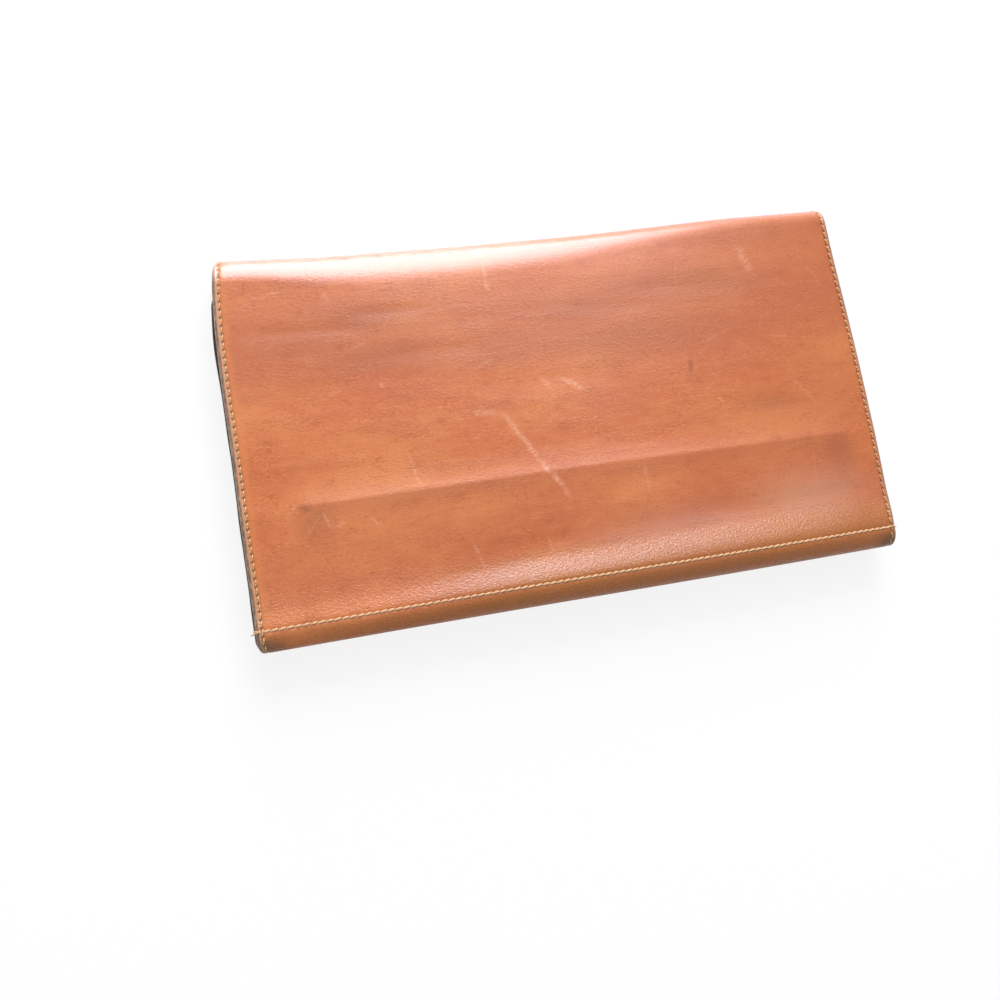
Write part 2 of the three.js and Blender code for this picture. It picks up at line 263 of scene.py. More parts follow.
COVER_TONES = {
    "tan": "#D36D31",
    "light": "#E38644",
    "ruddy": "#CE6A3C",
    "deep": "#B25722",
    # The smudge tone serves dirt, and also painted shade below the board's crest and in the seams' channels
    "smudge_and_shade": "#904A26",
    "burnish": "#BA5E34",
    "scuff": "#F5B088",
    # rubbed: the pale of the painted highlight along the crown of the fold
    "rubbed": "#EBC2AA",
    # bloom: a pale haze, partly wax bloom and partly painted sheen
    "bloom_and_sheen": "#DCD2CC",
    "hem": "#B46818",
    "hole": "#6A3712",
    "grime": "#4C3A16",
    "raw": "#D0A782",
    "raw_dark": "#7C5E46",
    "raw_worn": "#DACFC2",
}


def aged_leather(name, scratches, smudges_and_shade, hazes, board_mark, seams):
    """Smooth aged vegetable-tanned leather, waxed by handling: broad clouds of tan, flex streaks along the
    fold, pale scuffs where the grain is broken, darker burnish, a raw grey-beige cut at the sides."""
    material, node, dress = new_material(name)
    hide = node("Attribute", attribute_name="hide").outputs["Vector"]
    across, run, depth = node("SeparateXYZ", [hide]).outputs
    flat = node("VectorMath", [hide, (1, 1, 0)], operation="MULTIPLY")

    def pattern(long, wide, detail, rough=0.55):
        """Noise of a real size in millimetres, across and along."""
        scaled = node("VectorMath", [flat, (1 / long, 1 / wide, 0)], operation="MULTIPLY")
        return node("TexNoise", {"Vector": scaled, "Scale": 1.0, "Detail": detail, "Roughness": rough})

    def ramp(value, low, high, bottom=0.0, top=1.0):
        """A share that eases from bottom to top while the value goes from low to high."""
        return node("MapRange", [value, low, high, bottom, top], interpolation_type="SMOOTHSTEP")

    def times(a, b):
        """One share of another."""
        return node("Math", [a, b], operation="MULTIPLY", use_clamp=True)

    def layered(colour, layers):
        """Lays tones over a colour, one after the other, each by its share."""
        for tone, share in layers:
            colour = node("Mix", {0: share, 6: colour, 7: linear(COVER_TONES[tone])}, data_type="RGBA")
        return colour

    clouds = pattern(46, 26, 3)
    ruddy = pattern(75, 34, 2)
    streaks = pattern(30, 5.0, 3, 0.5)
    mottle = pattern(4.6, 2.8, 4, 0.6)
    crinkle = pattern(1.15, 0.55, 2, 0.6)
    pores = pattern(0.46, 0.40, 1)
    specks = pattern(0.75, 0.62, 3, 0.7)

    # Tan clouds, ruddier where it was handled, flex streaks, crinkles and specks of the grain; it is darker
    # in a band along the fold, and darker to the right, partly the hide's tone and partly painted shade of
    # the light falling off across the face
    creased = ramp(pattern(13, 7, 3), 0.42, 0.60, 0.25, 1.0)
    colour = layered(linear(COVER_TONES["tan"]), [
        ("light", ramp(clouds, 0.36, 0.68)),
        ("ruddy", ramp(ruddy, 0.42, 0.66, 0, 0.55)),
        ("deep", ramp(streaks, 0.48, 0.76, 0, 0.30)),
        ("light", ramp(mottle, 0.50, 0.76, 0, 0.60)),
        ("deep", ramp(mottle, 0.46, 0.26, 0, 0.50)),
        ("deep", times(creased, ramp(crinkle, 0.28, 0.48, 0.60, 0))),
        ("light", times(creased, ramp(crinkle, 0.52, 0.70, 0, 0.70))),
        # Darker to the right: partly the hide's tone, partly painted shade of the light falling off across
        # the face
        ("deep", ramp(across, -10, 89, 0, 0.36)),
        ("deep", times(ramp(run, 9, 20), ramp(run, 42, 30, 0, 0.34))),
        # Painted shade near the fold's right end: darker there to dim the window's sheen
        ("deep", times(ramp(across, 15, 75), ramp(run, 16, 5, 0, 0.5))),
        ("deep", ramp(specks, 0.44, 0.24, 0, 0.80)),
        ("scuff", ramp(specks, 0.60, 0.80, 0, 0.50)),
    ])

    # Hair cracks along the fold, where the grain has been bent to and fro; along the crown of the fold a pale
    # band is painted as the window's highlight, most of all at its left end
    crack = node("Math", [pattern(7, 0.8, 3, 0.65), 0.5], operation="SUBTRACT")
    crack = node("Math", [crack], operation="ABSOLUTE")
    crack = times(ramp(crack, 0.016, 0.0, 0, 0.5), ramp(run, 8, 3))
    # The rubbed band along the crown is a painted highlight of the window
    crown = times(ramp(run, 4.6, 2.0), ramp(run, -2.6, -0.8))
    rubbed = times(crown, ramp(across, 40, -40, 0.10, 0.60))
    colour = layered(colour, [
        ("smudge_and_shade", times(crack, ramp(streaks, 0.45, 0.60))),
        ("rubbed", times(rubbed, ramp(mottle, 0.30, 0.55, 0.45, 1.0))),
    ])

    # Where the marks are, the lie on the hide wanders by a millimetre, so that nothing is ruled
    wander = node("TexNoise", {"Vector": flat, "Scale": 1 / 8, "Detail": 4, "Roughness": 0.6})
    wander = wander.outputs["Color"]
    wandered = node("VectorMath", [wander, (2.8, 2.8, 0), flat], operation="MULTIPLY_ADD")
    marked = node("VectorMath", [wandered, (-1.4, -1.4, 0)], operation="ADD")

    def soft_spots(spots):
        """Soft ellipses, given by their middle, half length, half width and strength."""
        strongest = 0.0
        for x, d, long, wide, strength in spots:
            away = node("VectorMath", [marked, (x, d, 0)], operation="SUBTRACT")
            scaled = node("VectorMath", [away, (1 / long, 1 / wide, 0)], operation="MULTIPLY")
            reach = node("VectorMath", [scaled], operation="LENGTH")
            strongest = node("Math", [ramp(reach, 1.5, 0.0, 0, strength), strongest], operation="MAXIMUM")
        return strongest

    # Smudges of dirt; the board behind the leather as a burnished rectangle, with painted shade in a band
    # just below its far edge, where the leather slopes away from the window; and pale hazes over the hem's
    # rise, partly wax come out of the leather as a bloom and partly a painted sheen of the lamps
    left, right, top, slant, bottom = board_mark
    crest = node("MapRange", [across, 0, HALF_WIDTH, top, top + slant])
    below_line = node("Math", [run, crest], operation="SUBTRACT")
    between = times(ramp(across, left - 2.5, left + 5), ramp(across, right + 3.5, right - 4.5))
    inside = times(between, times(ramp(below_line, -1.0, 1.2), ramp(run, bottom + 7, bottom - 5)))
    # line: a band just below the board's crest, darkened as painted shade where the leather slopes away from
    # the window
    crest_shade = times(between, times(ramp(below_line, -0.9, 0.6), ramp(below_line, 6.0, 0.3)))
    colour = layered(colour, [
        ("smudge_and_shade", times(soft_spots(smudges_and_shade), ramp(mottle, 0.25, 0.65, 0.45, 1.0))),
        ("burnish", times(inside, ramp(clouds, 0.30, 0.70, 0.32, 0.12))),
        ("smudge_and_shade", times(crest_shade, ramp(clouds, 0.2, 0.8, 0.04, 0.22))),
        # Pale hazes: partly wax bloom, partly a painted sheen of the lamps
        ("bloom_and_sheen", times(soft_spots(hazes), ramp(streaks, 0.30, 0.65, 0.75, 1.0))),
    ])

    # Scratches: the grain is broken along a line between two places, and fades at its ends
    pale = 0.0
    for x0, d0, x1, d1, wide, strength in scratches:
        way = np.array([x1 - x0, d1 - d0, 0.0])
        away = node("VectorMath", [marked, (x0, d0, 0)], operation="SUBTRACT")
        share = node("VectorMath", [away, (way / (way @ way)).tolist()], operation="DOT_PRODUCT")
        share = times(share, 1.0)
        along = node("VectorMath", {0: way.tolist(), 3: share}, operation="SCALE")
        reach = node("VectorMath", [away, along], operation="DISTANCE")
        to_end = node("Math", [share, 0.5], operation="PINGPONG")
        fading = times(ramp(reach, wide, 0.0, 0, strength), ramp(to_end, 0.0, 0.3, 0.2, 1.0))
        pale = node("Math", [fading, pale], operation="MAXIMUM")

    # Hairlines: one fine scratch in each cell of a pattern, with a direction and a strength of its own
    bent = node("VectorMath", [wander, (1.2, 1.2, 0), flat], operation="MULTIPLY_ADD")
    for cell, wide, strength in ((15, 0.42, 0.24), (8, 0.34, 0.22)):
        cells = node("TexVoronoi", {"Vector": bent, "Scale": 1 / cell}, voronoi_dimensions="2D").outputs
        lean = node("VectorMath", [cells["Color"], (0.5, 0.5, 0)], operation="SUBTRACT")
        lean = node("VectorMath", [lean, (1, 1, 0)], operation="MULTIPLY")
        lean = node("VectorMath", [lean], operation="NORMALIZE")
        away = node("VectorMath", [bent, cells["Position"]], operation="SUBTRACT")
        along = node("VectorMath", [away, lean], operation="DOT_PRODUCT")
        to_middle = node("Math", [along], operation="ABSOLUTE")
        beside = node("VectorMath", [away, lean], operation="CROSS_PRODUCT")
        reach = node("VectorMath", [beside], operation="LENGTH")
        luck = node("SeparateXYZ", [cells["Color"]]).outputs[2]
        fading = times(ramp(reach, wide, 0.0, 0, strength), ramp(to_middle, 0.5 * cell, 0.1 * cell))
        fading = times(fading, times(ramp(luck, 0.35, 0.9), ramp(ruddy, 0.40, 0.60, 0.25, 1.0)))
        pale = node("Math", [fading, pale], operation="MAXIMUM")
    torn = times(ramp(crinkle, 0.36, 0.58, 0.25, 1.0), ramp(mottle, 0.32, 0.55, 0.45, 1.0))
    scuffs = times(pale, torn)

    # Handling has browned the hem and left grime on its ends; along the seams the colour is darker, painted
    # shade in their channels with a little dirt, and a strip inside the left seam is lighter
    hem_run, side_phase, side_end = seams
    touched = times(ramp(run, hem_run - 11, hem_run - 4, 0, 0.72), ramp(across, -62, -20))
    browned = times(ramp(run, hem_run - 0.6, hem_run + 2.6), ramp(mottle, 0.3, 0.7, 1.0, 0.8))
    browned = times(browned, ramp(across, -89, -42, 0.55, 1.0))
    browned = times(browned, ramp(run, hem_run + 10, hem_run + 6, 0.25, 1.0))
    handled = node("Math", [touched, browned], operation="MAXIMUM")
    off_middle = node("Math", [across], operation="ABSOLUTE")
    inset = node("Math", [HALF_WIDTH, off_middle], operation="SUBTRACT")
    at_side = node("Math", [inset, SIDE_SEAM], operation="SUBTRACT")
    at_side = node("Math", [at_side], operation="ABSOLUTE")
    side_step = node("Math", [run, side_phase], operation="SUBTRACT")
    side_step = node("Math", [side_step, SIDE_PITCH / 2], operation="PINGPONG")
    side_hole = node("Math", [at_side, side_step], operation="ADD")
    at_hem = node("Math", [run, hem_run], operation="SUBTRACT")
    at_hem = node("Math", [at_hem], operation="ABSOLUTE")
    hem_step = node("Math", [across, HEM_PITCH / 2], operation="PINGPONG")
    hem_hole = node("Math", [at_hem, hem_step], operation="ADD")
    seam_shade_and_dirt = node("Math", [at_side, at_hem], operation="MINIMUM")
    grime = times(ramp(inset, 9, 0.5, 0, 0.95), ramp(run, hem_run + 0.3, hem_run + 3.0))
    fibres = pattern(0.5, 2.5, 3, 0.7)
    paler = times(ramp(inset, 1.9, 0.8, 0, 0.6), ramp(fibres, 0.25, 0.6, 0.5, 1.0))
    colour = layered(colour, [
        ("scuff", scuffs),
        ("hem", handled),
        ("smudge_and_shade", times(handled, ramp(pores, 0.52, 0.30, 0, 0.75))),
        # Darker along the seams' channels: painted shade in the channels, with a little dirt
        ("smudge_and_shade", ramp(seam_shade_and_dirt, 0.9, 0.2, 0, 0.14)),
        ("light", times(ramp(inset, 4.6, 2.0, 0, 0.60), ramp(across, 0, -60))),
        ("grime", times(grime, ramp(mottle, 0.3, 0.6, 1.0, 0.7))),
        ("raw", times(paler, ramp(across, 80, -80, 0.3, 1.0))),
    ])

    # The cut: fibres, dusty, on the rim and where the corner is worn through, and darker towards the hem;
    # then the needle holes, painted dark as the shade inside them, with some dirt
    worn = times(ramp(inset, 0.95, 0.45), ramp(fibres, 0.1, 0.6, 0.7, 1.0))
    bare = node("Math", [worn, ramp(depth, 0.02, 0.1)], operation="MAXIMUM")
    raw = layered(linear(COVER_TONES["raw"]), [
        ("raw_dark", ramp(fibres, 0.28, 0.60, 0.15, 1.0)),
        ("raw_worn", ramp(run, 8, 2, 0, 0.7)),
        ("hole", ramp(run, hem_run + 1, hem_run + 5, 0, 0.6)),
    ])
    colour = node("Mix", {0: bare, 6: colour, 7: raw}, data_type="RGBA")
    # Needle holes painted dark: the shade inside the holes, with some dirt
    side_holes = times(ramp(side_hole, 0.75, 0.35, 0, 0.85), ramp(run, side_end + 0.5, side_end))
    holes = node("Math", [side_holes, ramp(hem_hole, 0.45, 0.15, 0, 0.45)], operation="MAXIMUM")
    colour = layered(colour, [("hole", holes)])

    # Wax and handling polish the high grain, most of all round the fold; scuffs and raw cuts stay dull, and
    # the grain is pricked up towards the hem
    polish = ramp(mottle, 0.25, 0.75, 0.36, 0.45)
    bright = node("Math", [ramp(run, 12, 4), -0.06, polish], operation="MULTIPLY_ADD")
    duller = node("Math", [scuffs, 0.12, bright], operation="MULTIPLY_ADD")
    toward_hem = ramp(run, hem_run - 14, hem_run - 5, 0.8, 5.0)
    pricked = node("Math", [specks, toward_hem], operation="MULTIPLY")
    flexed = ramp(streaks, 0.35, 0.62, 0.5, 1.5)
    relief = node("Math", [crinkle, flexed, pricked], operation="MULTIPLY_ADD")
    relief = node("Math", [scuffs, -0.6, relief], operation="MULTIPLY_ADD")
    bump = node("Bump", {"Strength": 0.38, "Distance": 0.00011, "Height": relief})
    dress({
        "Base Color": colour,
        "Roughness": node("Mix", {0: bare, 2: duller, 3: 0.85}),
        "IOR": 1.5,
        "Coat Weight": 1.0,
        "Coat Roughness": 0.22,
        "Coat IOR": 1.5,
        "Normal": bump,
        "Coat Normal": bump,
    })
    return material


BACK_SCRATCHES = [
    (-59, 20, -37, 34, 0.7, 0.5),
    (7, 55, 15, 70, 0.6, 0.6),
    (31, 30, 61, 37, 0.5, 0.4),
    (-29, 72, -23, 88, 0.5, 0.45),
    (-20, 40, -5, 44, 0.9, 0.35),
]
BACK_SMUDGES = [
    (-45, 24, 24, 3.0, 0.5),
    (30, 22, 30, 2.6, 0.5),
    (10, 50, 34, 9.0, 0.35),
    (-60, 80, 18, 8.0, 0.35),
]
BACK_BLOOMS = [(-20, 84, 40, 9.0, 0.10)]
NO_BOARD = (300.0, 310.0, 300.0, 0.0, 310.0)
back_leather = aged_leather(
    "aged_vegetable_tanned_leather_back",
    BACK_SCRATCHES,
    BACK_SMUDGES,
    BACK_BLOOMS,
    NO_BOARD,
    (BACK_HEM_RUN, BACK_SIDE_PHASE, BACK_SIDE_END),
)
back_runs = np.concatenate([
    np.linspace(-FOLD_RUN, FOLD_RADIUS, 25)[:-1],
    np.linspace(FOLD_RADIUS, BACK_ROLL_RUN, 126)[:-1],
    np.linspace(BACK_ROLL_RUN, BACK_LAP_RUN, 29)[:-1],
    np.linspace(BACK_LAP_RUN, BACK_RUN_END, 14),
])[::-1]
across_grid, run_grid, lie_grid = hide_grid(back_runs, hide_columns(BACK_COLUMN))
back_thick = HIDE_THICK - (HIDE_THICK - BACK_TURN_IN) * ease((run_grid - BACK_ROLL_RUN) / BACK_PARED_OVER)
back_cover = closed_sheet(
    "back_cover_leather",
    back_face(across_grid, run_grid),
    back_moved_in(across_grid, run_grid, back_thick),
    lie_grid,
    back_leather,
)
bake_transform(back_cover)
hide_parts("back_cover")


# Back lining: fine brown cotton glued to the inside of the back cover and half way round the fold.
# It shows inside the bill pocket and, when the wallet is open, along the spine.
LINING = 0.3
GLUE = 0.05
LINING_MARGIN = 0.6
WEAVE = 0.8


def thick_sheet(name, middle, thick, lie, material):
    """A closed sheet about a grid of middle points: half its thickness to each side, along the normal that
    the grid's two directions cross to."""
    along = np.gradient(middle, axis=0)
    beside = np.gradient(middle, axis=1)
    normal = np.cross(along, beside)
    normal = normal / np.linalg.norm(normal, axis=-1, keepdims=True)
    half = 0.5 * np.broadcast_to(thick, middle.shape[:2])[..., None] * normal
    return closed_sheet(name, middle + half, middle - half, lie, material)


def woven_cotton(name, light, dark):
    """Plain-woven cotton: threads 0.4 mm apart, coarser than real ones so that the weave shows, pass over
    and under by turns, with slubs and a little fading."""
    material, node, dress = new_material(name)
    hide = node("Attribute", attribute_name="hide").outputs["Vector"]
    waves = []
    for way in node("SeparateXYZ", [hide]).outputs[:2]:
        turned = node("Math", [way, 2 * np.pi / WEAVE], operation="MULTIPLY")
        waves.append(node("Math", [turned], operation="SINE"))
    over = node("Math", waves, operation="MULTIPLY")
    slub = node("TexNoise", {"Vector": hide, "Scale": 1 / 3.0, "Detail": 4})
    faded = node("TexNoise", {"Vector": hide, "Scale": 1 / 22.0, "Detail": 2})
    woven = node("MapRange", [over, -1.0, 1.0, 0.15, 0.7])
    share = node("Math", [woven, slub], operation="MULTIPLY")
    share = node("Math", [share, faded], operation="ADD", use_clamp=True)
    dress({
        "Base Color": node("Mix", {0: share, 6: linear(dark), 7: linear(light)}, data_type="RGBA"),
        "Roughness": 0.9,
        "Sheen Weight": 0.2,
        "Normal": node("Bump", {"Strength": 0.5, "Distance": 0.0001, "Height": over}),
    })
    return material


def lining_sheet(name, cover_moved_in, runs):
    """A lining: the cover's section moved in by hide, glue and half the cloth, cut short at the sides."""
    across, run, lie = hide_grid(runs, np.linspace(-HALF_WIDTH, HALF_WIDTH, 61))
    middle = cover_moved_in(across, run, HIDE_THICK + GLUE + LINING / 2)
    middle[..., 0] *= (HALF_WIDTH - LINING_MARGIN) / HALF_WIDTH
    return thick_sheet(name, middle, LINING, lie, lining_cotton)


lining_cotton = woven_cotton("woven_cotton_lining", "#A48560", "#6B5238")
back_lining_runs = np.concatenate([
    np.linspace(-FOLD_RUN, FOLD_RADIUS, 17)[:-1],
    np.linspace(FOLD_RADIUS, BACK_ROLL_RUN, 40),
])
back_lining = lining_sheet("back_lining_cotton", back_moved_in, back_lining_runs)
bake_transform(back_lining)
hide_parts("back_lining")


# Gussets: thin dark matt leather strips, one at each end of the bill pocket, pleated inwards between the back
# cover and the pocket's wall, and sewn in with the side seams. Towards the pocket's mouth they stand proud.
GUSSET = 0.5
GUSSET_FAR_Y = 43.65
GUSSET_LOW = 2.10
GUSSET_HIGH = 4.80
GUSSET_SEAM = 3.0
GUSSET_PLEAT = 9.0
GUSSET_DEEP = GUSSET_SEAM + GUSSET_PLEAT
GUSSET_PROUD_MOUTH = 0.50
GUSSET_PROUD = 0.02


def thin_dark_leather(name):
    """Thin dark brown goat leather, matt and dry: small pebbles of grain and rubbed, greyer ridges."""
    material, node, dress = new_material(name)
    hide = node("Attribute", attribute_name="hide").outputs["Vector"]
    pebbles = node("TexVoronoi", {"Vector": hide, "Scale": 1 / 0.8}, feature="SMOOTH_F1").outputs["Distance"]
    rubbed = node("TexNoise", {"Vector": hide, "Scale": 1 / 5.0, "Detail": 5, "Roughness": 0.65})
    share = node("MapRange", [rubbed, 0.4, 0.7, 0.0, 1.0])
    dress({
        "Base Color": node("Mix", {0: share, 6: linear("#40332A"), 7: linear("#6E5C48")}, data_type="RGBA"),
        "Roughness": node("MapRange", {0: rubbed, 3: 0.8, 4: 0.6}),
        "Normal": node("Bump", {"Strength": 0.6, "Distance": 0.00015, "Height": pebbles}),
    })
    return material


def gusset_middle(side, place_y, way):
    """Middle of a gusset: way goes from -1, the lower seam edge, to 1, the upper one; it runs in by the
    pleat's depth and back out, and its height eases from the crease to the two level seam allowances."""
    proud = GUSSET_PROUD + (GUSSET_PROUD_MOUTH - GUSSET_PROUD) * ease((place_y - 10) / 25)
    proud = proud - (GUSSET_PROUD_MOUTH + 0.5) * ease((place_y - GUSSET_FAR_Y + 4) / 4)
    seam_edge = side * trimmed(side * HALF_WIDTH, FAR_Y - place_y) + proud + 0.08 * np.sin(place_y / 3.7)
    x = seam_edge - GUSSET_DEEP * (1 - np.abs(way) ** 1.2)
    spread = ease(np.abs(way) * GUSSET_DEEP / GUSSET_PLEAT) * np.sign(way)
    z = (GUSSET_LOW + GUSSET_HIGH) / 2 + (GUSSET_HIGH - GUSSET_LOW) / 2 * spread
    return np.stack([side * x, place_y, z], -1)


gusset_leather = thin_dark_leather("thin_dark_goat_leather")
gusset_ways = np.linspace(-1, 1, 45)
gusset_places = np.linspace(ROLL_Y, GUSSET_FAR_Y, 70)
way_grid, gusset_y_grid = np.meshgrid(gusset_ways, gusset_places, indexing="ij")
lie_grid = np.stack([way_grid * GUSSET_DEEP, gusset_y_grid], -1)
for label, side in (("left", -1), ("right", 1)):
    middle = gusset_middle(side, gusset_y_grid, way_grid)
    gusset = thick_sheet("gusset_%s_leather" % label, middle, GUSSET, lie_grid, gusset_leather)
    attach(gusset, "back")
    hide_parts("gusset_" + label)


# Bill pocket wall and slip pocket: thin smooth calf leather, edges folded and ironed, each mouth with a
# pressed line. Their sides are caught in the side seams and their foot under the turned-in hem.
POCKET_WALL = 0.7
WALL_MIDDLE_Z = 5.5
WALL_MOUTH_Y = 42.0
SLIP_MIDDLE_Z = 6.25
SLIP_MOUTH_Y = 15.75
SLIP_FOOT_Y = -38.45
SLIP_BOW = 0.15
WALL_HALF = 88.9
PRESSED_LINE = 2.4
PRESSED_DEEP = 0.12
MOUTH_THIN = 0.06


def thin_calf(name):
    """Thin smooth calf leather, drum-dyed brown: even colour with soft clouds, a fine grain, a darker
    ironed edge at the mouth and a satin polish."""
    material, node, dress = new_material(name)
    hide = node("Attribute", attribute_name="hide").outputs["Vector"]
    run = node("SeparateXYZ", [hide]).outputs[1]
    clouds = node("TexNoise", {"Vector": hide, "Scale": 1 / 26.0, "Detail": 3})
    grain = node("TexNoise", {"Vector": hide, "Scale": 1 / 0.7, "Detail": 3, "Roughness": 0.6})
    rubbed = node("TexNoise", {"Vector": hide, "Scale": 1 / 6.0, "Detail": 4, "Roughness": 0.6})
    share = node("MapRange", [clouds, 0.35, 0.65])
    fine = node("MapRange", [grain, 0.35, 0.6, 0.35, 0.0])
    pressed = node("Math", [run, PRESSED_LINE], operation="SUBTRACT")
    pressed = node("Math", [pressed], operation="ABSOLUTE")
    pressed = node("MapRange", [pressed, 0.45, 0.1, 0.0, 0.6])
    ironed = node("MapRange", [run, 0.9, 0.3, 0.0, 0.75])
    darker = node("Math", [pressed, ironed], operation="MAXIMUM")
    colour = linear("#A8623C")
    for layer, tone in ((share, "#C07A50"), (fine, "#87492B"), (darker, "#5E3320")):
        colour = node("Mix", {0: layer, 6: colour, 7: linear(tone)}, data_type="RGBA")
    dress({
        "Base Color": colour,
        "Roughness": node("MapRange", [rubbed, 0.3, 0.7, 0.42, 0.55]),
        "IOR": 1.47,
        "Normal": node("Bump", {"Strength": 0.4, "Distance": 0.0001, "Height": grain}),
    })
    return material


def pocket_sheet(name, half, mouth_y, foot_y, middle_z, thick, up, bow, material):
    """A pocket's wall: level from mouth to foot, its mouth bowed out by bow between the seams, rounded over
    at the mouth's edge and pressed in along a line below it. up is 1 for a face that looks up, else -1."""
    near = np.array([0, 0.03, 0.1, 0.2, 0.35, 0.6, 1.2, 1.9, 2.2, 2.4, 2.6, 2.9, 3.5, 5])
    length = mouth_y - foot_y
    from_mouth = np.concatenate([near, np.linspace(7, length, int(length / 1.5))])
    if up < 0:
        from_mouth = from_mouth[::-1]
    across, below, lie = hide_grid(from_mouth, np.linspace(-half, half, 121))
    spring = np.sin(np.pi * np.clip(np.abs(across) / half, 0, 1)) ** 2 * np.exp(-below / 9)
    z = middle_z + up * bow * spring + 0.02 * np.sin(across / 9 + below / 13)
    place_y = mouth_y - below
    middle = np.stack([trimmed(across, FAR_Y - place_y), place_y, z], -1)
    left = np.clip(thick / 2 - below, 0, thick / 2)
    rounded = 2 * np.sqrt((thick / 2) ** 2 - left ** 2)
    pressed = PRESSED_DEEP * np.exp(-((below - PRESSED_LINE) / 0.25) ** 2)
    return thick_sheet(name, middle, np.maximum(rounded, MOUTH_THIN) - pressed, lie, material)


pocket_calf = thin_calf("thin_smooth_calf")
bill_wall = pocket_sheet(
    "bill_pocket_calf", WALL_HALF, WALL_MOUTH_Y, ROLL_Y, WALL_MIDDLE_Z, POCKET_WALL, 1, 0.0, pocket_calf
)
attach(bill_wall, "back")
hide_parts("bill_pocket_wall")
slip_pocket = pocket_sheet(
    "slip_pocket_calf", WALL_HALF, SLIP_MOUTH_Y, SLIP_FOOT_Y, SLIP_MIDDLE_Z, POCKET_WALL, 1, SLIP_BOW,
    pocket_calf,
)
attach(slip_pocket, "back")
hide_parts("slip_pocket")


# Back seams: lockstitches of waxed cream thread, 2 mm long, sunk in a channel on the underside so that the
# table doesn't rub them, the hem's row on top of the turn-in, and the side seams' inner thread.
STITCH_WIDE = 0.22
STITCH_HIGH = 0.20
STITCH_RINGS = 7
BACK_STITCH_LIFT = 0.05
INNER_SINK = 0.12
HEM_HALF = 86.3
BACK_TOP_Z = 6.9
WALL_TOP_Z = WALL_MIDDLE_Z + POCKET_WALL / 2
SLIP_TOP_Z = SLIP_MIDDLE_Z + POCKET_WALL / 2
CORNER_SEAM = SIDE_SEAM + 0.8


def waxed_thread(name, clean, shade):
    """Waxed polyester thread, two plies twisted: cream, a little soiled, dull, with slanting ply shadows."""
    material, node, dress = new_material(name)
    hide = node("Attribute", attribute_name="hide").outputs["Vector"]
    along, round_it = node("SeparateXYZ", [hide]).outputs[:2]
    twist = node("Math", [along, 7.5], operation="MULTIPLY")
    twist = node("Math", [twist, round_it], operation="ADD")
    ply = node("Math", [twist], operation="SINE")
    soil = node("TexNoise", {"Vector": hide, "Scale": 0.7, "Detail": 3})
    shaded = node("MapRange", [ply, -1.0, 0.4, 0.45, 0.0])
    dirty = node("MapRange", [soil, 0.45, 0.75, 0.0, 0.4])
    colour = linear(clean)
    for share, tone in ((shaded, shade), (dirty, "#C48C5E")):
        colour = node("Mix", {0: share, 6: colour, 7: linear(tone)}, data_type="RGBA")
    dress({
        "Base Color": colour,
        "Roughness": 0.6,
        "Normal": node("Bump", {"Strength": 0.6, "Distance": 0.00008, "Height": ply}),
    })
    return material


def thread_lengths(name, centre, out, wide, high, material):
    """Lengths of thread, all alike: six-sided rings about a row of centres for each length, as wide and
    high as given at each ring, flat towards out, and closed at both ends. centre and out are lengths by
    rings by three."""
    lengths, rings = centre.shape[:2]
    along = np.gradient(centre, axis=1)
    along = along / np.linalg.norm(along, axis=-1, keepdims=True)
    beside = np.cross(out, along)
    beside = beside / np.linalg.norm(beside, axis=-1, keepdims=True)
    angle = np.arange(6) * np.pi / 3
    ring = np.cos(angle)[:, None] * (wide[:, None, None] * beside[:, :, None, :])
    ring = ring + np.sin(angle)[:, None] * (high[:, None, None] * out[:, :, None, :])
    points = centre[:, :, None, :] + ring
    number = np.arange(lengths * rings * 6).reshape(lengths, rings, 6)
    onward = np.roll(number, -1, axis=2)
    walls = np.stack([number[:, :-1], onward[:, :-1], onward[:, 1:], number[:, 1:]], -1).reshape(-1, 4)
    caps = np.concatenate([number[:, 0, ::-1], number[:, -1]])
    step = np.linalg.norm(np.diff(centre, axis=1), axis=-1)
    walked = np.concatenate([np.zeros((lengths, 1)), np.cumsum(step, axis=1)], 1)
    counted = 3.7 * np.arange(lengths)[:, None, None]
    lie = np.stack(np.broadcast_arrays(walked[:, :, None], angle, counted), -1).reshape(-1, 3)
    return piece_from(name, points.reshape(-1, 3), walls.tolist() + caps.tolist(), lie, material)


def stitch_centres(holes, out, slant, arch):
    """Centres of the stitches of one seam: from each needle hole to the next, leaning by slant across the
    seam and arched out of the leather by a half wave. holes and out are places by three."""
    share = np.linspace(0.01, 0.99, STITCH_RINGS)[None, :, None]
    way = np.diff(holes, axis=0)
    normal = out[:-1] + out[1:]
    normal = normal / np.linalg.norm(normal, axis=-1, keepdims=True)
    beside = np.cross(normal, way / np.linalg.norm(way, axis=-1, keepdims=True))
    lean = slant * (2 * share - 1) * beside[:, None, :]
    rise = arch * np.sin(np.pi * share) * normal[:, None, :]
    centre = holes[:-1, None, :] + share * way[:, None, :] + lean + rise
    return centre, np.broadcast_to(normal[:, None, :], centre.shape)


def seam(name, rows, slant, arch, material, wide=STITCH_WIDE):
    """All stitches of like seams in one piece. rows holds for each its needle holes, the directions out of
    the leather and the side that its stitches lean to."""
    parts = [stitch_centres(holes, out, lean * slant, arch) for holes, out, lean in rows]
    centre = np.concatenate([part[0] for part in parts])
    out = np.concatenate([part[1] for part in parts])
    swell = np.sin(np.pi * np.linspace(0.06, 0.94, STITCH_RINGS)) ** 0.4
    return thread_lengths(name, centre, out, wide * swell, STITCH_HIGH * swell, material)


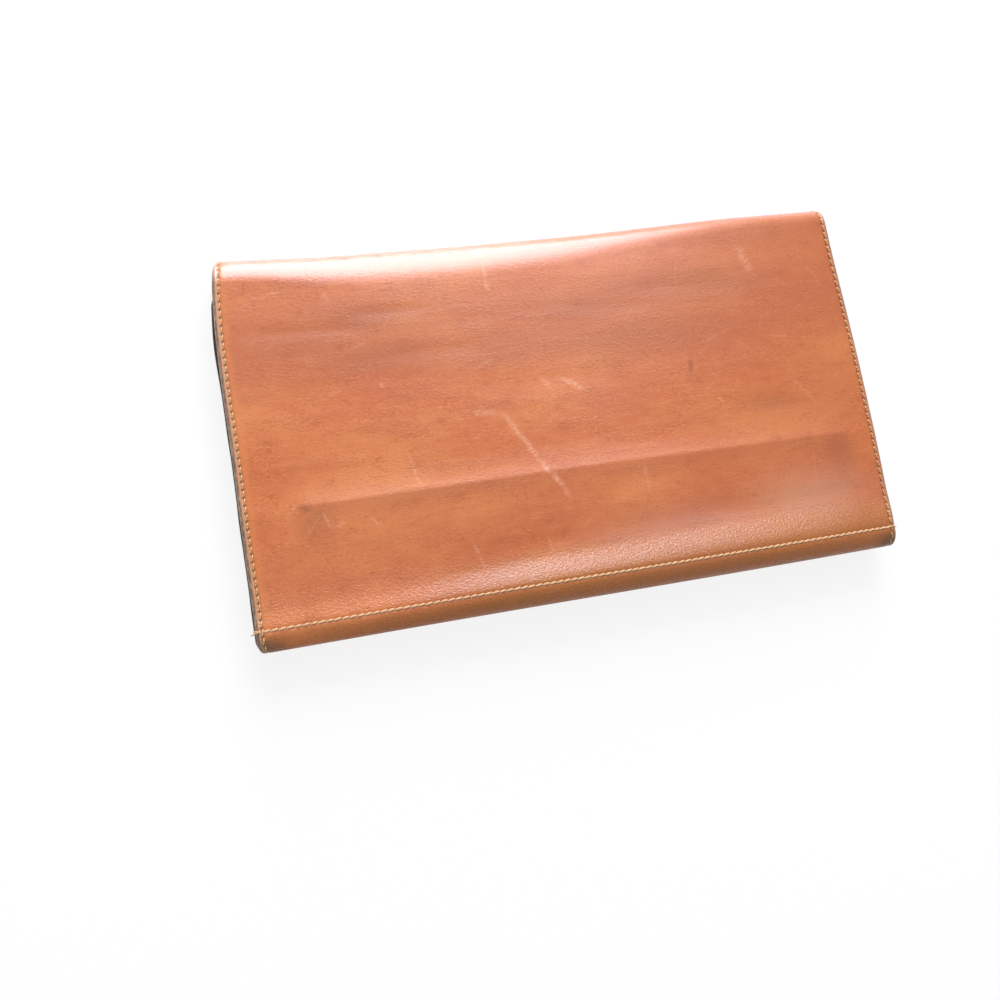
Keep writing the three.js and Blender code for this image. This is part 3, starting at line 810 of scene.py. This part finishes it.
def side_row(face, path, direction, side, runs, raise_by):
    """A side seam's row on a cover's outside, lifted by raise_by."""
    across = np.full_like(runs, side * (HALF_WIDTH - SIDE_SEAM))
    out_y, out_z = outward(path, across, runs, direction)
    out = np.stack([0 * runs, out_y, out_z], -1)
    return face(across, runs) + raise_by * out, out, side


def level_row(x, y, z, up, lean=1):
    """A level row at the height z, which looks up or down."""
    holes = np.stack(np.broadcast_arrays(x, y, z), -1)
    return holes, np.broadcast_to(np.array([0.0, 0.0, up]), holes.shape), lean


def inner_rows(spans, up):
    """Both side seams as they come out inside a half: level rows, one for each span of y at its height,
    inset from the edge, looking up or down. Each row stops short of the next piece's edge."""
    rows = []
    for start, stop, height, inset in spans:
        row_y = np.arange(start + 0.8, stop - 0.4, SIDE_PITCH)
        for side in (-1, 1):
            row_x = trimmed(np.full_like(row_y, side * (HALF_WIDTH - inset)), FAR_Y - row_y)
            rows.append(level_row(row_x, row_y, height - INNER_SINK * up, up, side))
    return rows


sewing_thread = waxed_thread("waxed_cream_thread", "#F3CB9A", "#D8A068")
soiled_thread = waxed_thread("waxed_cream_thread_soiled", "#EABB84", "#BC8450")
back_side_runs = np.arange(BACK_SIDE_PHASE, BACK_SIDE_END, SIDE_PITCH)
back_rows = [side_row(back_face, back_path, -1, side, back_side_runs, BACK_STITCH_LIFT) for side in (-1, 1)]
back_side_stitches = seam("back_side_stitches", back_rows, 0.16, 0.12, soiled_thread)
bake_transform(back_side_stitches)
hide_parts("back_left_thread", "back_right_thread")

hem_x = np.arange(-HEM_HALF, HEM_HALF, HEM_PITCH)
back_hem_row = level_row(hem_x, HEM_Y, BACK_TOP_Z - INNER_SINK, 1.0)
back_hem_stitches = seam("back_hem_stitches", [back_hem_row], 0.16, 0.08, sewing_thread)
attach(back_hem_stitches, "back")
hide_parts("back_hem_thread")

back_inner_rows = inner_rows([
    (ROLL_Y, TURN_IN_Y, BACK_TOP_Z, CORNER_SEAM),
    (TURN_IN_Y, SLIP_MOUTH_Y, SLIP_TOP_Z, SIDE_SEAM),
    (SLIP_MOUTH_Y, WALL_MOUTH_Y, WALL_TOP_Z, SIDE_SEAM),
], 1.0)
back_inner_stitches = seam("back_inner_stitches", back_inner_rows, 0.12, 0.08, sewing_thread)
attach(back_inner_stitches, "back")


# Front cover: the upper half of the same hide, the face in the photograph. It bends over from the fold,
# lies over a board that shows through near the hem, and its near edge is rolled under and topstitched.
FACE_Z = 11.0
BOARD_LINE = 66.0
BOARD_LINE_SLANT = 0.9
BOARD_RISE = 0.55
BOARD_LEFT = -74.0
BOARD_RIGHT = 78.5
BOARD_FOOT = 86.0
SEAM_RUN = 94.7
TURN_IN_RISE = 0.6
ROLL_EASE = 7.5
ROLL_EASE_TURN = np.radians(32)
ROLL_TIGHT = 1.7913
EASE_RUN = SEAM_RUN + ROLL_EASE * ROLL_EASE_TURN
TIGHT_RUN = EASE_RUN + ROLL_TIGHT * (np.pi - ROLL_EASE_TURN)
TIGHT_Y = HEM_Y - (ROLL_EASE - ROLL_TIGHT) * np.sin(ROLL_EASE_TURN)
FRONT_RUN_END = TIGHT_RUN + (TURN_IN_Y - TIGHT_Y)
FRONT_TURN_IN = 0.9
FRONT_PARED_OVER = 9.0
FRONT_EDGE_ROUND = 1.1
FRONT_SEAM_GROOVE = 0.15
FRONT_SIDE_PHASE = -2.2
FRONT_SIDE_END = EASE_RUN + 3.2
FRONT_CORNER = 97.0
FRONT_COLUMN = 1.25
HEM_STEP = 1.70
HEM_STEP_RUN = 86.8
HEM_STEP_LONG = 7.6
HEM_DIP = 0.22
HEM_DIP_RUN = 84.6
NOSE_BULGE = 0.45
FLEX_CREASES = np.array([
    (-87, -48, 22.5, 0.10, 1.8),
    (-60, -30, 19.0, 0.09, 1.6),
    (-52, -18, 30.5, 0.08, 2.2),
    (0, 32, 22.5, 0.05, 2.4),
    (18, 62, 18.5, 0.06, 2.6),
    (-30, 20, 41.0, 0.05, 3.0),
    (40, 84, 55.0, 0.08, 2.4),
])


def face_relief(across, run):
    """Rise of the face: the board's edge as a ramp that ends in a crest, a slight dip and the step up on to
    the turned-in hem, which comes earlier at the right, flex creases along the fold and a slow waviness."""
    crest = BOARD_LINE + BOARD_LINE_SLANT * ease(across / HALF_WIDTH)
    backed = 0.3 + 0.7 * ease((across + 78) / 6) * ease((84 - across) / 7)
    climb = np.clip((run - crest + 8) / 8, 0, 1) ** 2
    settle = 0.10 * ease((run - crest) / 6)
    board = BOARD_RISE * backed * (climb - settle)
    full = (0.25 + 0.75 * ease((across + 72) / 62)) * (1 - 0.45 * ease((across - 50) / 37))
    early = 1.2 * ease((across + 20) / 70) - 2.6 * ease((-10 - across) / 60)
    step = HEM_STEP * ease((run - HEM_STEP_RUN + early) / (HEM_STEP_LONG + 0.3 * early))
    step = step - HEM_DIP * np.exp(-((run - HEM_DIP_RUN + early) / 3.2) ** 2)
    rise = board + full * step
    start, stop, place, depth, wide = FLEX_CREASES.T.reshape(5, -1, *[1] * np.ndim(run))
    window = ease((across - start) / 10) * ease((stop - across) / 10)
    rise = rise - (depth * window * np.exp(-((run - place - 0.02 * across) / wide) ** 2)).sum(0)
    waves = 0.09 * np.sin(across / 27 + run / 40 + 0.7) + 0.06 * np.sin(across / 12.5 - run / 16)
    return rise + waves * ease((run - 6) / 8) * ease((90 - run) / 8)


def fold_reach(across):
    """How far the fold's bend reaches over the face: slack left of the middle, tight at the right."""
    return 4.8 + 6.2 * ease((66 - across) / 85) * (1 - 0.60 * ease((-46 - across) / 38))


def bare_front_path(across, run):
    """Section of the front cover without relief, outside: a quarter ellipse up from the middle of the fold,
    level to the seam, an easy arc, a tight one under, then level back along the turn-in."""
    reach = fold_reach(across)
    turn = np.clip((run + FOLD_RUN) / (reach + FOLD_RUN), 0, 1) * np.pi / 2
    level = np.clip(run, reach, SEAM_RUN) - reach
    easing = np.clip((run - SEAM_RUN) / ROLL_EASE, 0, ROLL_EASE_TURN)
    tight = np.clip((run - EASE_RUN) / ROLL_TIGHT, 0, np.pi - ROLL_EASE_TURN) + ROLL_EASE_TURN
    back_again = np.maximum(run - TIGHT_RUN, 0)
    y = FAR_Y - reach * (1 - np.cos(turn)) - level - ROLL_EASE * np.sin(easing)
    y = y - ROLL_TIGHT * (np.sin(tight) - np.sin(ROLL_EASE_TURN)) + back_again
    y = y + fold_bow(across) * fold_fade(run)
    y = y - (0.35 + 0.5 * ease((across + 60) / 120)) * ease((run - 70) / 24)
    y = y - NOSE_BULGE * np.sin(np.pi * np.clip((run - SEAM_RUN) / (TIGHT_RUN - SEAM_RUN), 0, 1))
    z = FOLD_RADIUS + (FACE_Z - FOLD_RADIUS) * np.sin(turn)
    z = z - ROLL_EASE * (1 - np.cos(easing)) - ROLL_TIGHT * (np.cos(ROLL_EASE_TURN) - np.cos(tight))
    return y, z


def front_path(across, run):
    """Section of the front cover, outside, with its face's relief, which evens out round the hem."""
    y, z = bare_front_path(across, run)
    rise = face_relief(across, np.minimum(run, SEAM_RUN))
    rolled = ease((run - SEAM_RUN) / (TIGHT_RUN - SEAM_RUN))
    return y, z + rise * (1 - rolled) + TURN_IN_RISE * rolled


front_moved_in = partial(moved_in, front_path, 1, FRONT_CORNER)


def front_face(across, run):
    """Outside of the front cover: its section, sunk at the sides, the side seams and the hem's seam."""
    sink = side_edge(across, run, FRONT_EDGE_ROUND, FRONT_SEAM_GROOVE, FRONT_SIDE_PHASE)
    pull = 1.0 + 0.20 * np.cos(2 * np.pi * across / HEM_PITCH)
    sink = sink + FRONT_SEAM_GROOVE * pull * np.exp(-((run - SEAM_RUN) / 0.6) ** 2)
    return front_moved_in(across, run, sink)


FRONT_SCRATCHES = [
    (-19.6, 46.9, -9.2, 65.7, 1.20, 0.56),
    (-11.8, 61.0, -4.4, 73.7, 1.25, 0.64),
    (-27.5, 47.4, -19.3, 48.0, 1.5, 0.35),
    (-6.6, 40.2, -3.6, 44.0, 1.6, 0.40),
    (-1.6, 41.0, 5.6, 45.0, 1.1, 0.75),
    (-45.5, 55.5, -43.6, 66.0, 0.75, 0.45),
    (-49.8, 36.8, -48.4, 38.4, 0.7, 0.60),
    (-16.9, 7.0, -16.2, 15.6, 1.0, 0.50),
    (57.5, 9.5, 61.5, 17.5, 2.2, 0.36),
    (-80.5, 12.4, -70.0, 9.9, 0.9, 0.30),
    (-61.7, 11.2, -59.0, 13.6, 1.4, 0.40),
    (-69.2, 68.2, -67.4, 72.5, 0.7, 0.45),
    (-77.7, 68.4, -75.3, 65.7, 0.8, 0.45),
    (-58.0, 70.3, -55.4, 73.3, 0.7, 0.45),
    (-66.0, 72.7, -63.7, 71.0, 0.8, 0.40),
    (-12.8, 82.6, -11.9, 89.4, 0.7, 0.35),
    (-33.0, 80.5, -30.4, 88.5, 0.9, 0.35),
    (17.8, 66.5, 17.0, 76.0, 0.8, 0.25),
    (43.0, 52.0, 44.5, 53.4, 0.7, 0.45),
    (-25.0, 36.5, -18.5, 33.5, 0.9, 0.22),
    (-58.0, 28.0, -50.0, 25.0, 1.0, 0.18),
    (66.0, 49.0, 72.0, 57.0, 0.9, 0.18),
]
FRONT_SMUDGES_AND_SHADE = [
    (-51.0, 19.6, 11.0, 4.4, 0.34),
    (-68.0, 23.6, 18.0, 4.2, 0.14),
    (-48.5, 29.8, 16.0, 5.0, 0.24),
    (-20.0, 32.0, 18.0, 5.0, 0.18),
    (8.0, 22.6, 17.0, 4.4, 0.28),
    (30.0, 18.2, 16.0, 4.6, 0.26),
    (46.0, 19.2, 18.0, 4.4, 0.32),
    (24.0, 33.0, 30.0, 6.0, 0.24),
    (58.5, 55.2, 10.0, 3.4, 0.28),
    (36.6, 42.0, 0.9, 2.6, 0.75),
    # The next two are painted shade at the board's left and right edges, where the leather bends over them
    (76.0, 72.0, 5.0, 8.0, 0.40),
    (-71.0, 70.5, 5.0, 6.0, 0.36),
    (-73.2, 66.6, 1.8, 1.3, 0.75),
]
# Pale hazes over the hem's rise: partly wax bloom, partly a painted sheen of the lamps on that slope
FRONT_HAZES = [
    (30.0, 88.0, 34.0, 8.0, 0.17),
    (63.0, 85.0, 22.0, 9.5, 0.17),
    (12.0, 91.5, 44.0, 3.0, 0.20),
]
front_leather = aged_leather(
    "aged_vegetable_tanned_leather_front",
    FRONT_SCRATCHES,
    FRONT_SMUDGES_AND_SHADE,
    FRONT_HAZES,
    (BOARD_LEFT, BOARD_RIGHT, BOARD_LINE, BOARD_LINE_SLANT, BOARD_FOOT),
    (SEAM_RUN, FRONT_SIDE_PHASE, FRONT_SIDE_END),
)
front_runs = np.concatenate([
    np.linspace(-FOLD_RUN, 10.0, 36)[:-1],
    np.linspace(10.0, 57.0, 76)[:-1],
    np.linspace(57.0, 70.0, 31)[:-1],
    np.linspace(70.0, 90.0, 31)[:-1],
    np.linspace(90.0, TIGHT_RUN, 45)[:-1],
    np.linspace(TIGHT_RUN, FRONT_RUN_END, 12),
])
across_grid, run_grid, lie_grid = hide_grid(front_runs, hide_columns(FRONT_COLUMN))
front_thick = HIDE_THICK - (HIDE_THICK - FRONT_TURN_IN) * ease((run_grid - SEAM_RUN) / FRONT_PARED_OVER)
front_cover = closed_sheet(
    "front_cover_leather",
    front_face(across_grid, run_grid),
    front_moved_in(across_grid, run_grid, front_thick),
    lie_grid,
    front_leather,
)
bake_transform(front_cover)
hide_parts("front_cover", "spine_cover")


# Stiffener: a strip of grey bonded fibre board, 0.5 mm, between the front cover and its lining. It stays
# hidden, and its edge shows through the leather. Should it come into view, the eye sees short grey and
# beige fibres, about a millimetre long, and no shine.
board_material, board_node, dress_board = new_material("bonded_fibre_board")
board_place = board_node("TexCoord").outputs["Object"]
board_fibres = board_node("TexNoise", {"Vector": board_place, "Scale": 900.0, "Detail": 5, "Roughness": 0.7})
board_tones = {0: board_fibres, 6: linear("#8D8474"), 7: linear("#B5AC9A")}
dress_board({"Base Color": board_node("Mix", board_tones, data_type="RGBA"), "Roughness": 0.95})
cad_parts["front_stiffener"].data.materials.clear()
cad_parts["front_stiffener"].data.materials.append(board_material)


# Front lining: the same brown cotton, glued behind the card panels and half way round the fold.
# It shows between the panels' mouths and the fold when the wallet is open.
front_lining_runs = np.concatenate([
    np.linspace(-FOLD_RUN, 10.0, 22)[:-1],
    np.linspace(10.0, SEAM_RUN - 0.1, 36),
])[::-1]
bare_front_moved_in = partial(moved_in, bare_front_path, 1, FRONT_CORNER)
front_lining = lining_sheet("front_lining_cotton", bare_front_moved_in, front_lining_runs)
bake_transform(front_lining)
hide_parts("front_lining", "spine_lining")


# Card panels: three of the same thin calf, stepped 14 mm apart and open towards the fold, so that cards
# slip in behind each. The deepest reaches under the turned-in hem.
CARD_PANEL = 0.6
CARD_HALF = 88.6
CARD_ROWS = [
    ("high", 22.0, HEM_Y, 8.9, 0.0),
    ("middle", 8.0, SLIP_FOOT_Y, 8.25, 0.03),
    ("low", -6.0, SLIP_FOOT_Y, 7.6, 0.14),
]
for label, mouth_y, foot_y, middle_z, bow in CARD_ROWS:
    panel = pocket_sheet(
        "card_panel_%s_calf" % label, CARD_HALF, mouth_y, foot_y, middle_z, CARD_PANEL, -1, bow, pocket_calf
    )
    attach(panel, "front")
    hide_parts("card_panel_" + label)


# Front seams: cream lockstitches down both raw sides and over the fold, a row along the hem that ends in
# loose tails at both corners, their inner thread, and the row down the middle that parts the card pockets.
FRONT_STITCH_LIFT = 0.04
FRONT_HEM_HALF = 88.35
FRONT_HEM_WIDE = 0.29
FRONT_TURN_IN_Z = 7.15
LINING_FACE_Z = FACE_Z - HIDE_THICK - GLUE - LINING
DIVIDER_PITCH = 2.4
TAIL_ROOT = 1.2
TAIL_RINGS = 10
TAILS = np.array([
    (-1, 2.3, -0.5, 0.4),
    (-1, 1.8, 0.5, 0.6),
    (1, 1.7, -0.4, 0.3),
    (1, 1.2, 0.3, 0.4),
])
front_side_runs = np.arange(FRONT_SIDE_PHASE, FRONT_SIDE_END, SIDE_PITCH)
front_rows = [
    side_row(front_face, front_path, 1, side, front_side_runs, FRONT_STITCH_LIFT) for side in (-1, 1)
]
front_side_stitches = seam("front_side_stitches", front_rows, 0.24, 0.16, soiled_thread)
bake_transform(front_side_stitches)
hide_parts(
    "front_left_thread", "front_right_thread", "spine_left_thread", "spine_right_thread"
)

front_hem_x = np.arange(-FRONT_HEM_HALF + 0.5 * HEM_PITCH, FRONT_HEM_HALF, HEM_PITCH)
front_hem_runs = np.full_like(front_hem_x, SEAM_RUN)
hem_out_y, hem_out_z = outward(front_path, front_hem_x, front_hem_runs, 1)
hem_out = np.stack([0 * front_hem_x, hem_out_y, hem_out_z], -1)
front_hem_holes = front_face(front_hem_x, front_hem_runs) + FRONT_STITCH_LIFT * hem_out
front_hem_row = (front_hem_holes, hem_out, 1)
front_hem_stitches = seam("front_hem_stitches", [front_hem_row], 0.18, 0.16, sewing_thread, FRONT_HEM_WIDE)
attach(front_hem_stitches, "front")
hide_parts("front_hem_thread")

tail_side, tail_long, tail_turn, tail_lift = TAILS.T[:, :, None]
tail_share = np.linspace(0, 1, TAIL_RINGS)[None, :]
tail_root = front_face(tail_side * (HALF_WIDTH - TAIL_ROOT), np.full_like(tail_side, SEAM_RUN))
tail_way = np.stack([
    tail_side * tail_long * tail_share,
    tail_turn * tail_share ** 2,
    0.12 + tail_lift * np.sin(np.pi * tail_share) - 0.9 * tail_share ** 2,
], -1)
tail_up = np.broadcast_to(np.array([0.0, 0.0, 1.0]), tail_way.shape)
tail_size = STITCH_WIDE * (1 - 0.4 * tail_share[0] ** 3)
hem_thread_tails = thread_lengths(
    "hem_thread_tails", tail_root + tail_way, tail_up, tail_size, tail_size, sewing_thread
)
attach(hem_thread_tails, "front")

card_steps = [(mouth_y, middle_z - CARD_PANEL / 2) for label, mouth_y, foot_y, middle_z, bow in CARD_ROWS]
(high_y, high_z), (middle_y, middle_z), (low_y, low_z) = card_steps
front_inner_rows = inner_rows([
    (HEM_Y, TURN_IN_Y, FRONT_TURN_IN_Z, CORNER_SEAM),
    (TURN_IN_Y, low_y, low_z, SIDE_SEAM),
    (low_y, middle_y, middle_z, SIDE_SEAM),
    (middle_y, high_y, high_z, SIDE_SEAM),
    (high_y, FAR_Y - FOLD_RADIUS - 4, LINING_FACE_Z, SIDE_SEAM),
], -1.0)
inner_hem_y = bare_front_path(front_hem_x, front_hem_runs)[0] + 0.8
front_inner_rows.append(
    level_row(front_hem_x[1:-1], inner_hem_y[1:-1], FRONT_TURN_IN_Z + INNER_SINK, -1.0)
)
front_inner_stitches = seam("front_inner_stitches", front_inner_rows, 0.12, 0.08, sewing_thread)
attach(front_inner_stitches, "front")

divider_stops = [middle_y + 0.6, low_y + 0.6, SLIP_FOOT_Y + 0.8]
divider_rows = []
for (mouth_y, panel_z), stop_y in zip(card_steps, divider_stops):
    row_y = np.arange(mouth_y - DIVIDER_PITCH / 2, stop_y, -DIVIDER_PITCH)
    divider_rows.append(level_row(0 * row_y, row_y, panel_z + 0.03, -1.0))
card_divider_stitches = seam("card_divider_stitches", divider_rows, 0.14, 0.10, sewing_thread)
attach(card_divider_stitches, "front")
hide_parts("card_divider_thread")


# Table and light: a matt white table that sweeps up into a backdrop all round, a window-like softbox behind
# the wallet, a weaker one above, and an even white room. To the camera the table glows a little and so
# stays near white; to the leather it is a plain pale surface.
SWEEP_FLAT = 1800.0
SWEEP_CURVE = 800.0
SWEEP_RISE = 1300.0
SWEEP_DROP = 0.1
sweep_angle = np.concatenate([[0.0], np.linspace(0, np.pi / 2, 25)])
sweep_radius = SWEEP_FLAT + SWEEP_CURVE * np.sin(sweep_angle)
sweep_radius[0] = 0.4
sweep_height = SWEEP_RISE * (1 - np.cos(sweep_angle)) - SWEEP_DROP
sweep_turn = np.linspace(0, 2 * np.pi, 96, endpoint=False)
sweep_points = np.stack(np.broadcast_arrays(
    sweep_radius[:, None] * np.cos(sweep_turn),
    sweep_radius[:, None] * np.sin(sweep_turn),
    sweep_height[:, None],
), -1)
sweep_number = np.arange(sweep_points[..., 0].size).reshape(sweep_points.shape[:2])
sweep_onward = np.roll(sweep_number, -1, axis=1)
sweep_corners = [sweep_number[:-1], sweep_number[1:], sweep_onward[1:], sweep_onward[:-1]]
sweep_faces = np.stack(sweep_corners, -1).reshape(-1, 4).tolist()
sweep_faces.append(sweep_number[0].tolist())
sweep_lie = np.zeros((sweep_number.size, 3))
white_table, table_node, dress_table = new_material("matt_white_table")
rays = table_node("LightPath").outputs
mirrored = table_node("Math", [rays["Is Glossy Ray"], rays["Is Transmission Ray"]], operation="ADD")
seen_glow = table_node("MapRange", {0: rays["Is Camera Ray"], 3: 0.0, 4: 0.84})
dress_table({
    "Base Color": table_node("MapRange", {0: rays["Is Camera Ray"], 3: 0.80, 4: 0.18}),
    "Roughness": 0.9,
    "Specular IOR Level": 0.0,
    "Emission Color": (1, 1, 1, 1),
    "Emission Strength": table_node("Math", [mirrored, 0.06, seen_glow], operation="MULTIPLY_ADD"),
})
table = piece_from("white_sweep", sweep_points.reshape(-1, 3), sweep_faces, sweep_lie, white_table)

for label, place, wide, high, watts in (
    ("window", (0.09, 0.75, 0.40), 0.52, 0.69, 10.2),
    ("ceiling", (0.25, 0.46, 0.76), 0.50, 0.30, 1.15),
):
    lamp_data = bpy.data.lights.new(label, "AREA")
    lamp_data.shape = "RECTANGLE"
    lamp_data.size = wide
    lamp_data.size_y = high
    lamp_data.energy = watts
    lamp_data.color = (0.94, 0.97, 1.10)
    lamp = bpy.data.objects.new(label, lamp_data)
    towards = Vector(place).to_track_quat("Z", "Y").to_matrix().to_4x4()
    lamp.matrix_world = Matrix.Translation(place) @ towards
    bpy.context.scene.collection.objects.link(lamp)

world = bpy.data.worlds.new("white_room")
bpy.context.scene.world = world
world.use_nodes = True
room = world.node_tree.nodes["Background"]
room.inputs["Color"].default_value = (1, 1, 1, 1)
room.inputs["Strength"].default_value = 0.43

bpy.context.scene.view_settings.view_transform = "Standard"
